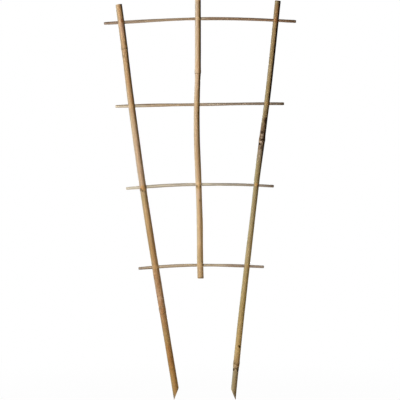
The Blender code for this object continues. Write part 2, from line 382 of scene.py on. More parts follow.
def rows_of(cane):
    """Rings down the cane, closer together at its nodes, holes and ends."""
    places = [0.0]
    while places[-1] < cane.length:
        here = places[-1]
        near_node = min(abs(here - n.down) for n in cane.nodes)
        near_hole = min(abs(here - h) for h in cane.holes)
        near_end = min(here, cane.length - here)
        near = zip((near_node, near_hole, near_end), FINE_STEPS)
        step = next((step for distance, (reach, step) in near if distance < reach), PLAIN_STEP)
        places.append(min(here + step, cane.length))
    return [Row(down, cane.axis(down), cane.thickness(down)) for down in places]


for cane in CANES:
    print(cane.node, "has", len(rows_of(cane)), "rows")

# %% The skin of a cane
OVAL = 0.012  # share of the radius
SWELL, SWELL_LENGTH = 0.07 * MM, 22 * MM
GROOVE = 0.30 * MM
GROOVE_LENGTH = 75 * MM
GROOVE_WIDTH = 0.085  # of a turn
DEEP_FROM, DEEP_TO = 5 * MM, GROOVE_LENGTH * 0.2  # above a node, where its groove is deepest
NODE_REACH = 12 * MM
EDGE_WEAR, WORN_LENGTH = 0.22 * MM, 0.5 * MM  # at the sawn ends


def skin_radius(cane, row, turn):
    """How far the skin lies from the middle at a row and turn."""
    angle = turn * FULL_TURN
    radius = row.radius * (1 + OVAL * math.cos(2 * angle + cane.seed))
    here = row.down / SWELL_LENGTH + cane.seed
    radius += SWELL * noise.noise(Vector((math.cos(angle), math.sin(angle), here)))
    for node in cane.nodes:
        if abs(row.down - node.down) < NODE_REACH:
            radius += node.rise(row.down, turn)
        above = node.down - node.gap / 2 - row.down
        if 0 < above < GROOVE_LENGTH:
            depth = GROOVE * fade(above, 0, DEEP_FROM) * fade(above, GROOVE_LENGTH, DEEP_TO)
            radius -= depth * math.exp(-((wrapped(turn - node.bud) / GROOVE_WIDTH) ** 2))
    from_end = min(row.down, cane.length - row.down)
    worn = max(1 - from_end / WORN_LENGTH, 0) ** 2
    ragged = 0.6 + 0.6 * noise.noise(Vector((angle * 4, row.down, cane.seed)))
    return radius - EDGE_WEAR * worn * ragged


def grow(cane):
    """The whole skin of a cane, closed at both ends, in the cane's own frame."""
    return roll(
        rows_of(cane),
        CANE_SIDES,
        lambda row, turn: round_about(row.middle, turn, skin_radius(cane, row, turn)),
    )


# %% [markdown]
# ## Sawing, hollowing and drilling
#
# The legs are cut to a point with one slanted stroke, so their feet show the wall of the cane and the long
# mouth of its hollow. The hollow and the four drilled holes are taken out with Boolean modifiers, because
# a drill really does that, and their sharp edges then come by themselves. A drill tears the skin where it
# enters and leaves, most of all up and down along the fibres, so the drill tool flares a little there.

# %% Materials of the three kinds of surface, filled in further down
SKIN, CUT = 0, 1  # slots of a piece; the hollow's lining has the third
cut_wood = bpy.data.materials.new("cut_bamboo")
hollow_lining = bpy.data.materials.new("hollow_lining")


def settle(bm, name, materials, transform=Matrix()):
    """Turns a bmesh into a new object at the origin, with its place in its mesh."""
    bmesh.ops.transform(bm, matrix=transform, verts=bm.verts)
    mesh = bpy.data.meshes.new(name)
    bm.to_mesh(mesh)
    bm.free()
    for material in materials:
        mesh.materials.append(material)
    piece = bpy.data.objects.new(name, mesh)
    bpy.context.scene.collection.objects.link(piece)
    return piece


def take_out(piece, tool):
    """Cuts a tool's shape out of a piece for good. The cut faces take the tool's material."""
    cut = piece.modifiers.new("cut", "BOOLEAN")
    cut.operation = "DIFFERENCE"
    cut.solver = "EXACT"
    cut.material_mode = "TRANSFER"
    cut.object = tool
    bpy.context.view_layer.update()
    result = bpy.data.meshes.new_from_object(piece.evaluated_get(bpy.context.evaluated_depsgraph_get()))
    piece.modifiers.clear()
    piece.data = result
    bpy.data.objects.remove(tool, do_unlink=True)


# %% The slanted foot


def slant_foot(bm, cane):
    """Cuts a leg to a point: the cut starts at the outer edge and rises to the inner one."""
    middle = cane.axis(cane.length)
    outer_edge = middle.x - cane.inner_side * (cane.thickness(cane.length) - FOOT_TIP)
    normal = Vector((cane.inner_side * math.cos(FOOT_CUT_ANGLE), 0, -math.sin(FOOT_CUT_ANGLE)))
    point = Vector((outer_edge, middle.y, middle.z))
    whole = [*bm.verts, *bm.edges, *bm.faces]
    bmesh.ops.bisect_plane(bm, geom=whole, plane_co=point, plane_no=normal, clear_outer=True)
    rim = [e for e in bm.edges if e.is_boundary]
    bmesh.ops.holes_fill(bm, edges=rim, sides=0)
    bmesh.ops.recalc_face_normals(bm, faces=bm.faces)


def mark_cut_ends(bm):
    """Gives the sawn faces, which are the only large flat ones, the material of cut bamboo."""
    for face in bm.faces:
        if len(face.verts) > 4:
            face.material_index = CUT


# %% The hollow behind a sawn end
HOLLOW_SIDES = 28
HOLLOW_STEP = 3 * MM
HOLLOW_SWELL, HOLLOW_SWELL_LENGTH = 0.06, 14 * MM  # the first as a share of its radius
CLOSED_END = 0.75  # share of its width that is left where a node closes it


def hollow_tool(cane):
    """The natural hollow behind each sawn end, as far as the next node closes it."""
    walls = [node.down for node in cane.nodes]
    top_end = min([BORE_REACH, *(w - DIAPHRAGM / 2 for w in walls)])
    foot_start = max([cane.length - BORE_REACH, *(w + DIAPHRAGM / 2 for w in walls)])
    tools = []
    for start, end in ((-cane.bore, top_end), (foot_start, cane.length + cane.bore)):
        steps = math.ceil((end - start) / HOLLOW_STEP)
        downs = [start + (end - start) * k / steps for k in range(steps + 1)]

        def place(down, turn):
            uneven = noise.noise(Vector((turn * 9, down / HOLLOW_SWELL_LENGTH, cane.seed + 5)))
            rounding = CLOSED_END if down in (start, end) else 1.0
            radius = cane.bore / 2 * rounding * (1 + HOLLOW_SWELL * uneven)
            return round_about(cane.axis(down), turn, radius)

        tools.append(roll(downs, HOLLOW_SIDES, place))
    return joined(tools)


def joined(parts):
    """Several bmeshes as one."""
    whole = parts[0]
    for other in parts[1:]:
        mesh = bpy.data.meshes.new("joined")
        other.to_mesh(mesh)
        other.free()
        whole.from_mesh(mesh)
        bpy.data.meshes.remove(mesh)
    return whole


# %% [markdown]
# ## Rungs and the holes they run through
#
# Each rung is one thin stick. The holes of the three canes are not quite in line, so the stick is bent by
# them, and that is what jams it. Its path is worked out first, because each hole has to be drilled along it.

# %% The path of a rung


@dataclass
class Rung:
    """One thin stick through the same hole of all three canes."""

    node: str
    hole: int
    slopes: tuple  # upwards per metre to the right, in the left, centre and right cane
    longer: tuple  # than the even overhang, at the left and the right end
    girth: tuple  # (share of the length, times the diameter)
    seed: float

    def crossings(self):
        return [cane.hole_point(self.hole) for cane in CANES]

    def directions(self):
        left, centre, right = self.crossings()
        spans = [centre - left, right - left, right - centre]
        return [Vector((1, s.y / s.x, up)).normalized() for s, up in zip(spans, self.slopes)]

    def path(self):
        """Points along the rung's middle with the direction at each, closely spaced, from left to right."""
        at, ways = self.crossings(), self.directions()
        first = at[0] - ways[0] * (OVERHANG + self.longer[0])
        last = at[-1] + ways[-1] * (OVERHANG + self.longer[1])
        points = straight(first, at[0])
        for k in range(len(CANES) - 1):
            span = (at[k + 1] - at[k]).length
            steps = math.ceil(span / RUNG_STEP)
            pulls = ways[k] * span, ways[k + 1] * span
            points += [hermite(step / steps, at[k], at[k + 1], *pulls) for step in range(steps)]
        points += [*straight(at[-1], last), last]
        return points


def straight(start, end):
    """Points from start towards end, without the end itself."""
    steps = math.ceil((end - start).length / RUNG_STEP)
    return [start.lerp(end, k / steps) for k in range(steps)]


RUNG_STEP = 1.8 * MM
RUNGS = (
    Rung(
        "top_rung",
        0,
        (0.058, 0.018, -0.052),
        (0.0003, 0.0048),
        (
            (0, 0.90), (0.05, 1.04), (0.17, 1.06), (0.31, 0.93), (0.44, 0.93), (0.53, 1.06), (0.64, 1.0),
            (1, 0.98),
        ),
        2.0,
    ),
    Rung(
        "second_rung",
        1,
        (0.036, 0.010, -0.004),
        (-0.0012, 0.0004),
        (
            (0, 0.92), (0.08, 1.06), (0.25, 1.10), (0.37, 0.97), (0.52, 1.04), (0.72, 0.88), (0.90, 0.98),
            (1, 0.94),
        ),
        7.0,
    ),
    Rung(
        "third_rung",
        2,
        (0.085, 0.004, -0.054),
        (0.0, 0.0009),
        ((0, 0.90), (0.08, 1.03), (0.30, 1.06), (0.46, 1.05), (0.62, 0.90), (0.85, 0.90), (1, 0.92)),
        12.0,
    ),
    Rung(
        "bottom_rung",
        3,
        (0.080, 0.002, -0.044),
        (0.0, 0.0),
        ((0, 0.94), (0.10, 1.02), (0.45, 1.0), (0.62, 0.88), (0.80, 1.04), (0.92, 0.92), (1, 0.92)),
        23.0,
    ),
)
for rung in RUNGS:
    path = rung.path()
    run = sum((b - a).length for a, b in zip(path, path[1:]))
    print(rung.node, f"{run * 1000:.1f} mm along its bends")

# %% The drill
DRILL_SIDES = 40
DRILL_STEPS = 44
DRILL_REACH = 1.6  # times the cane's diameter, both ways
TEAR_DEPTH = 0.6 * MM  # below the skin, where the flare starts
TEAR, TEAR_ASIDE = 0.42 * MM, 0.05 * MM  # along and across the fibres


def drill_tool(cane):
    """Four drilled holes along the rungs, flared where the drill tore the skin."""
    to_cane = cane.matrix.inverted()
    reach = DRILL_REACH * cane.diameter
    tools = []
    for rung in RUNGS:
        k = CANES.index(cane)
        at, way = to_cane @ rung.crossings()[k], to_cane.to_3x3() @ rung.directions()[k]
        side = way.cross(DOWN).normalized()
        along_fibre = side.cross(way)

        def place(step, turn):
            angle = turn * FULL_TURN
            outward = side * math.cos(angle) + along_fibre * math.sin(angle)
            through = 2 * step / DRILL_STEPS - 1
            edge = at + way * reach * through + outward * (RUNG_DIAMETER / 2 + RUNG_GAP)
            middle = cane.axis(-edge.z)
            skin = cane.thickness(-edge.z)
            torn = fade(math.hypot(edge.x - middle.x, edge.y - middle.y), skin - TEAR_DEPTH, skin)
            mouth = 7 if through > 0 else 0  # the two mouths tear in different ways
            rough = 0.5 + 0.5 * noise.noise(Vector((angle * 2.3, mouth, rung.seed + cane.seed)))
            return edge + outward * torn * (TEAR_ASIDE + TEAR * abs(math.sin(angle)) ** 3 * rough)

        tools.append(roll(list(range(DRILL_STEPS + 1)), DRILL_SIDES, place))
    return joined(tools)


# %% [markdown]
# ## Grain that follows the cane
#
# The fibres of bamboo run exactly along the cane, also where it bends. A pattern on plain object coordinates
# would cross the bends at an angle, so each point remembers where it would be if its cane were straight:
# across, across, and the distance down, in millimetres. The finishes read that as an attribute. It is
# written after the cuts, from the same curves that grew the cane, so new points on cut edges have it too.

# %% Remember the straightened place
GRAIN = "grain"


def remember_grain(piece, straightened):
    """Stores a vector on every point: its place in millimetres on the straightened piece."""
    layer = piece.data.attributes.new(GRAIN, "FLOAT_VECTOR", "POINT")
    for point, value in zip(piece.data.vertices, layer.data):
        value.vector = straightened(point.co) / MM


def straight_cane(cane):
    """The rule that straightens a cane."""
    to_cane = cane.matrix.inverted()

    def rule(point):
        own = to_cane @ point
        middle = cane.axis(-own.z)
        return Vector((own.x - middle.x, own.y - middle.y, -own.z))

    return rule


# %% Make the canes
SHARP = math.radians(38)


def make_cane(cane):
    """One finished upright in the trellis's frame."""
    bm = grow(cane)
    if cane.inner_side:
        slant_foot(bm, cane)
    mark_cut_ends(bm)
    skin = bpy.data.materials.new(f"{cane.slot}_skin")
    piece = settle(bm, f"{cane.node}_bamboo", (skin, cut_wood, hollow_lining), cane.matrix)
    take_out(piece, settle(hollow_tool(cane), "hollow", (hollow_lining,), cane.matrix))
    take_out(piece, settle(drill_tool(cane), "drill", (cut_wood,), cane.matrix))
    piece.data.shade_smooth()
    piece.data.set_sharp_from_angle(angle=SHARP)
    remember_grain(piece, straight_cane(cane))
    return piece


uprights = {cane.node: make_cane(cane) for cane in CANES}
for name, piece in uprights.items():
    print(name, len(piece.data.polygons), "faces,", [m.name for m in piece.data.materials])

# %% [markdown]
# ## The rungs
#
# A rung is split from a thicker cane and rounded by hand, so it is not a true cylinder: its section is a
# square with very round corners, it twists slowly, and its thickness wanders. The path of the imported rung
# gives the middle line, and the same roll tool wraps the stick round it.

# %% Make the rungs
RUNG_SIDES = 30
SQUARENESS = 2.5  # 2 is round, more is squarer
ROUNDED = 0.955  # brings the square's corners back to the stick's thickness
TWIST = 0.55  # turns over the length
UNEVEN, UNEVEN_LENGTH = 0.06 * MM, 9 * MM
BEVEL, BEVEL_LENGTH = 0.35 * MM, 0.9 * MM  # at the ends


def section(angle):
    """Radius of the rounded square, as a share of half its width."""
    return (abs(math.cos(angle)) ** SQUARENESS + abs(math.sin(angle)) ** SQUARENESS) ** (-1 / SQUARENESS)


def make_rung(rung):
    """One finished rung in the trellis's frame."""
    path = rung.path()
    runs = [0.0]
    for before, after in zip(path, path[1:]):
        runs.append(runs[-1] + (after - before).length)

    def heading(k):
        return (path[min(k + 1, len(path) - 1)] - path[max(k - 1, 0)]).normalized()

    def place(k, turn):
        share = runs[k] / runs[-1]
        up = Vector((0, 1, 0)).cross(heading(k)) * -1
        back = up.cross(heading(k))
        angle = turn * FULL_TURN
        radius = RUNG_DIAMETER / 2 * smooth(rung.girth, share) * ROUNDED
        radius *= section(angle + TWIST * FULL_TURN * share)
        here = runs[k] / UNEVEN_LENGTH + rung.seed
        radius += UNEVEN * noise.noise(Vector((math.cos(angle), math.sin(angle), here)))
        from_end = min(runs[k], runs[-1] - runs[k])
        radius -= BEVEL * max(1 - from_end / BEVEL_LENGTH, 0) ** 2
        return path[k] + (up * math.sin(angle) + back * math.cos(angle)) * radius

    def straightened(point):
        k = min(range(len(path)), key=lambda i: (path[i] - point).length_squared)
        offset = point - path[k]
        return Vector((offset.y, offset.z, runs[k] + offset.dot(heading(k))))

    bm = roll(list(range(len(path))), RUNG_SIDES, place)
    mark_cut_ends(bm)
    skin = bpy.data.materials.new(f"{rung.node}_skin")
    piece = settle(bm, f"{rung.node}_bamboo", (skin, cut_wood))
    piece.data.shade_smooth()
    piece.data.set_sharp_from_angle(angle=SHARP)
    remember_grain(piece, straightened)
    return piece


sticks = {rung.node: make_rung(rung) for rung in RUNGS}
for name, piece in sticks.items():
    print(name, len(piece.data.polygons), "faces")

# %% [markdown]
# ## A way to write finishes
#
# A finish is a network of shader nodes. Building it with hundreds of lines of links is hard to read, so one
# small class wraps the output of a node and understands +, -, * and /. An expression then adds its own Math
# nodes. Every other kind of node comes from one function, which takes its type, settings and sockets.

# %% Shader maths as expressions


class Field:
    """A value, colour or vector that changes over a surface: one output of a shader node."""

    def __init__(self, socket):
        self.socket = socket

    @property
    def tree(self):
        return self.socket.id_data

    def maths(self, operation, first, second):
        return add_node(self.tree, "ShaderNodeMath", {"operation": operation}, {0: first, 1: second})

    def __add__(self, other):
        return self.maths("ADD", self, other)

    def __sub__(self, other):
        return self.maths("SUBTRACT", self, other)

    def __mul__(self, other):
        return self.maths("MULTIPLY", self, other)

    def __truediv__(self, other):
        return self.maths("DIVIDE", self, other)


def plug(node, name, value):
    """Gives a socket of a node a value, or links a field to it."""
    if isinstance(value, Field):
        node.id_data.links.new(value.socket, node.inputs[name])
    else:
        node.inputs[name].default_value = value


def add_node(tree, kind, settings=None, sockets=None, output=0):
    """A new shader node: its settings are set first, then the values or links of its sockets."""
    node = tree.nodes.new(kind)
    for name, value in (settings or {}).items():
        setattr(node, name, value)
    for name, value in (sockets or {}).items():
        plug(node, name, value)
    return Field(node.outputs[output])


# %% Words for finishes


def coordinate(vector, index):
    """One coordinate of a vector: 0 and 1 lie across a piece, and 2 runs along it."""
    return add_node(vector.tree, "ShaderNodeSeparateXYZ", sockets={0: vector}, output=index)


def vector_maths(operation, first, second, output="Vector"):
    """Maths on vectors. A length or a dot product comes out of the socket called Value."""
    sockets = {0: first, 1: second}
    return add_node(first.tree, "ShaderNodeVectorMath", {"operation": operation}, sockets, output)


def blend(below, above, amount, way="MIX"):
    """One colour over another by an amount from 0 to 1."""
    below, above = (c if isinstance(c, Field) else (*c, 1.0) for c in (below, above))
    settings = {"data_type": "RGBA", "blend_type": way, "clamp_factor": True}
    sockets = {0: amount, 6: below, 7: above}  # 6, 7 and output 2 are the colours
    return add_node(amount.tree, "ShaderNodeMix", settings, sockets, output=2)


def run_through(stops, share):
    """A colour that runs through (share, colour) stops."""
    run = add_node(share.tree, "ShaderNodeValToRGB", sockets={"Fac": share})
    elements = run.socket.node.color_ramp.elements
    while len(elements) < len(stops):
        elements.new(1.0)
    for element, (position, colour) in zip(elements, stops):
        element.position = position
        element.color = (*colour, 1.0)
    return run


def step_between(value, start, end):
    """A soft step of a value, 0 at start and 1 at end."""
    settings = {"interpolation_type": "SMOOTHSTEP", "clamp": True}
    sockets = {"Value": value, "From Min": start, "From Max": end}
    return add_node(value.tree, "ShaderNodeMapRange", settings, sockets)


def window(value, start, end, soft):
    """1 between start and end and 0 outside, with a step as wide as soft at both."""
    half = soft / 2
    return step_between(value, start - half, start + half) * step_between(value, end + half, end - half)


def band(off, outer, inner):
    """1 where a value is less than inner from zero, and 0 where it is more than outer."""
    return step_between(off * off, outer**2, inner**2)


def streaks(grain, width, length, seed, detail=2.0):
    """Noise drawn out along the fibres: its width across and its length along, in millimetres."""
    squeezed = vector_maths("MULTIPLY", grain, (1 / width, 1 / width, 1 / length))
    moved = vector_maths("ADD", squeezed, (seed, seed * 1.7, seed * 2.3))
    settings = {"noise_dimensions": "3D", "normalize": True}
    sockets = {"Vector": moved, "Scale": 1.0, "Detail": detail}
    return add_node(grain.tree, "ShaderNodeTexNoise", settings, sockets)


# %% Where every finish starts and ends
GLOSS = 0.02


def open_finish(material):
    """The shader of a material, and the straightened place on its piece in millimetres."""
    material.use_nodes = True
    shader = material.node_tree.nodes["Principled BSDF"]
    plug(shader, "Specular IOR Level", GLOSS)
    settings = {"attribute_name": GRAIN}
    return shader, add_node(shader.id_data, "ShaderNodeAttribute", settings, output="Vector")


def close_finish(shader, colour, roughness, relief, depth, strength):
    """Gives a shader its colour, its roughness and its relief, whose depth is in millimetres."""
    sockets = {"Strength": strength, "Distance": depth * MM, "Height": relief}
    plug(shader, "Base Color", colour)
    plug(shader, "Roughness", roughness)
    plug(shader, "Normal", add_node(shader.id_data, "ShaderNodeBump", sockets=sockets))


# %% [markdown]
# ## Marks of a cane's life
#
# Bamboo shows where it grew and lay: pale and pinkish areas, black mould, brown flecks, scuffs. One large
# noise could scatter marks, but then none would be where it is on the real cane. So each mark is a small
# ellipsoid round a point of the skin, with an edge that noise has eaten into, and a table lists them. The
# same kind of entry makes a crisp black spot or a soft tint as long as a finger.
# A few marks are painted light and shade instead: a greyer lit left flank, a dark right edge, a dark top
# corner, dark spots at the edges of drilled holes and a dark rim at a sawn foot.

# %% One mark


@dataclass
class Mark:
    """A spot or a soft area of another colour on the skin."""

    down: float  # millimetres below the sawn top
    across: float  # -1 is the left edge as seen from the front, 1 the right edge
    width: float  # across and along, in millimetres
    length: float
    colour: tuple
    strength: float
    soft: float = 0.3  # share of its size over which it fades


def wobbled(grain, reach, scale):
    """The straightened place, moved about by noise, so that edges drawn on it come out ragged."""
    sockets = {"Vector": grain, "Scale": scale, "Detail": 3.0}
    nibble = add_node(grain.tree, "ShaderNodeTexNoise", sockets=sockets, output="Color")
    centred = vector_maths("SUBTRACT", nibble, (0.5, 0.5, 0.5))
    return vector_maths("ADD", grain, vector_maths("MULTIPLY", centred, (reach,) * 3))


def marked(colour, ragged, cane, marks):
    """A colour with the marks laid over it, in order."""
    for mark in [Mark(*row) for row in marks]:
        radius = cane.thickness(mark.down * MM) / MM
        middle = (radius * mark.across, -radius * math.sqrt(1 - mark.across**2), mark.down)
        size = (2 / mark.width, 2 / mark.width, 2 / mark.length)
        away = vector_maths("MULTIPLY", vector_maths("SUBTRACT", ragged, middle), size)
        reach = vector_maths("LENGTH", away, (0, 0, 0), "Value")
        mask = step_between(reach, 1 + mark.soft, 1 - mark.soft)
        colour = blend(colour, mark.colour, mask * mark.strength)
    return colour


# %% [markdown]
# ## Mottling
#
# In places the skin is mottled, as if it had been dabbed with a brown sponge. That is one patchy noise,
# shown only inside a window along the cane that fades at both ends.

# %% Mottled stretches


@dataclass
class Mottle:
    """A stretch of the cane that is dabbed with another colour."""

    start: float  # millimetres below the sawn top
    end: float
    colour: tuple
    strength: float
    cover: float  # share of the stretch that is dabbed, roughly
    dab: tuple  # size of a dab across and along, in millimetres


def mottled(colour, grain, zones, seed):
    """A colour with the mottled stretches laid over it, in order."""
    for zone in [Mottle(*row) for row in zones]:
        dabs = streaks(grain, *zone.dab, seed + zone.start, detail=4)
        middle = 0.62 - 0.24 * zone.cover  # the level of the noise above which about this share lies
        soft = min(25, (zone.end - zone.start) / 3)
        mask = step_between(dabs, middle - 0.05, middle + 0.07)
        mask = mask * window(coordinate(grain, 2), zone.start + soft / 2, zone.end - soft / 2, soft)
        colour = blend(colour, zone.colour, mask * zone.strength)
    return colour


# %% [markdown]
# ## Node lines and drilled places
#
# The sheath scar of a node is a thin dark line that dips under the bud, exactly as the lip in the mesh does.
# Round each drilled hole the wood is fresher and more orange, most of all on the right.

# %% The dark line of a scar and the fresh wood
SCAR_BROWN = (0.13, 0.07, 0.03)
BELOW_LIP = 0.45  # millimetres from the lip's edge to the middle of its line
FRESH_REACH, FRESH_CORE = 3.4, 1.7  # millimetres up and down from a hole's middle


def facing(grain, turn):
    """How far a place lies towards a side of the cane, in millimetres from the middle."""
    direction = (math.cos(turn * FULL_TURN), math.sin(turn * FULL_TURN), 0)
    return vector_maths("DOT_PRODUCT", grain, direction, "Value")


def scar_lines(colour, ragged, grain, cane):
    """The thin dark line under each node's lip."""
    for node in cane.nodes:
        radius = cane.thickness(node.down) / MM
        under_bud = step_between(facing(grain, node.bud), radius * 0.72, radius)
        line = (node.down + node.gap / 2) / MM + BELOW_LIP
        off = coordinate(ragged, 2) - (under_bud * (node.dip / MM) + line)
        mask = band(off, 0.9 * node.line_width, 0.25 * node.line_width)
        colour = blend(colour, SCAR_BROWN, mask * node.line_strength)
    return colour


def drilled_places(colour, ragged, grain, cane, fresh, strength):
    """Fresh wood round the holes."""
    radius = cane.diameter / 2 / MM
    side = step_between(facing(grain, 0.0), -radius * 0.6, radius * 0.7)
    for hole in cane.holes:
        mask = band(coordinate(ragged, 2) - hole / MM, FRESH_REACH, FRESH_CORE) * (side * 0.7 + 0.3)
        colour = blend(colour, fresh, mask * strength)
    return colour


# %% [markdown]
# ## Bamboo skin
#
# Dry bamboo is tan with fine darker hairlines along the fibres, broader soft streaks, and a tone that drifts
# along the cane. It is smooth and slightly waxy. All canes share one recipe with their own tones and marks,
# because they are the same material, and only age and sun have made them differ. The relief of the fibres
# is a bump, since it is only a few hundredths of a millimetre deep.
# The flanks also carry painted light and shade: the lit left flank is greyer and cooler, a painted sheen, and
# the right flank and its edge take the tone of a shaded side.

# %% What one skin looks like
HAIRLINE = (0.26, 0.14, 0.05)
# SHADOWY darkens the canes' broad streaks, and is painted shade in the rungs' bands
SHADOWY = (0.10, 0.055, 0.02)
PALE_WAX = (0.95, 0.82, 0.60)
# near black: dark mould stains, and painted shade on the right edges
MOULD_AND_SHADE = (0.027, 0.009, 0.001)


@dataclass
class Skin:
    """The colours of one cane, from its sawn top down."""

    tones: tuple  # (share of the length, colour of the front, colour of the right flank with painted light and shade in it)
    left_sheen_and_shade: tuple  # painted sheen and shade: times the colour on the lit left flank, greyer and cooler
    zones: tuple  # of rows for Mottle
    marks: tuple  # of rows for Mark
    shade_and_mould_edges: tuple  # (start, end, share of the radius where it begins, strength), on the right: painted shade on the right edge, and on the olive cane also a dark mould stain
    fresh: tuple
    fresh_strength: float
    streak: tuple  # colour of the broad streaks


# %% The skin recipe


def skin_finish(cane, skin):
    """Fills in the skin material of a cane."""
    shader, grain = open_finish(uprights[cane.node].data.materials[SKIN])
    ragged = wobbled(grain, 0.8, 0.8)
    broad = streaks(grain, 2.2, 70, cane.seed)
    fine = streaks(grain, 0.42, 26, cane.seed + 3, detail=3)
    ribbon = streaks(grain, 1.3, 45, cane.seed + 6)
    cloud = streaks(grain, 9, 22, cane.seed + 9)
    fleck = streaks(grain, 0.55, 4.0, cane.seed + 14)
    radius = cane.diameter / 2 / MM
    down, rightwards, forwards = coordinate(grain, 2), facing(grain, 0.0), facing(grain, -0.25)

    share = down / (cane.length / MM)
    front = run_through([(s, f) for s, f, _ in skin.tones], share)
    # The right flank's colours hold painted shade and painted light: they set how dark and how saturated the
    # side away from the lamp looks.
    right = run_through([(s, r) for s, _, r in skin.tones], share)
    colour = blend(front, right, step_between(rightwards, radius * 0.15, radius * 0.7))
    # Painted sheen and shade: the lit left flank is multiplied greyer and cooler.
    left = step_between(rightwards, -radius * 0.3, -radius * 0.75)
    colour = blend(colour, skin.left_sheen_and_shade, left, "MULTIPLY")
    colour = blend(colour, SHADOWY, step_between(broad, 0.42, 0.72) * 0.20)
    colour = blend(colour, skin.streak, step_between(ribbon, 0.48, 0.66) * 0.28)
    colour = blend(colour, PALE_WAX, step_between(cloud, 0.50, 0.85) * 0.16)
    colour = mottled(colour, grain, skin.zones, cane.seed)
    on_the_front = step_between(forwards + (broad - 0.5) * 4.0, -radius * 0.45, radius * 0.05)
    # Painted shade on the right edge, kept to the front; on the olive cane it is also a dark mould stain.
    for start, end, begins, strength in skin.shade_and_mould_edges:
        edge = step_between(rightwards, radius * begins, radius * (begins + 0.45)) * on_the_front
        colour = blend(colour, MOULD_AND_SHADE, edge * window(down, start, end, 12) * strength)
    colour = blend(colour, HAIRLINE, step_between(fine, 0.53, 0.75) * 0.30)
    colour = blend(colour, HAIRLINE, step_between(fleck, 0.70, 0.80) * 0.55)
    colour = drilled_places(colour, ragged, grain, cane, skin.fresh, skin.fresh_strength)
    colour = scar_lines(colour, wobbled(grain, 0.5, 0.5), grain, cane)
    colour = marked(colour, ragged, cane, skin.marks)
    close_finish(shader, colour, fine * 0.22 + 0.40, fine * 0.7 + broad * 0.3, 0.05, 0.5)
    print(cane.slot, "has", len(shader.id_data.nodes), "shader nodes")


# %% [markdown]
# ## Three skins
#
# The tables below are the canes' own. Tones are given at shares of the length, everything else at
# millimetres below the sawn top. A row of zones or marks has the values of a Mottle or a Mark in their
# order. The left cane goes from tan to a pinkish cream and ends golden brown.

# %% Colours that the canes share
PINKISH = (0.62, 0.42, 0.29)
CREAM = (0.68, 0.52, 0.33)
OLIVE = (0.36, 0.28, 0.12)
ORANGE = (0.50, 0.25, 0.08)
RUSSET = (0.34, 0.14, 0.045)
BROWN = (0.14, 0.075, 0.035)
DARK = (0.06, 0.032, 0.012)
GREYISH = (0.34, 0.27, 0.215)

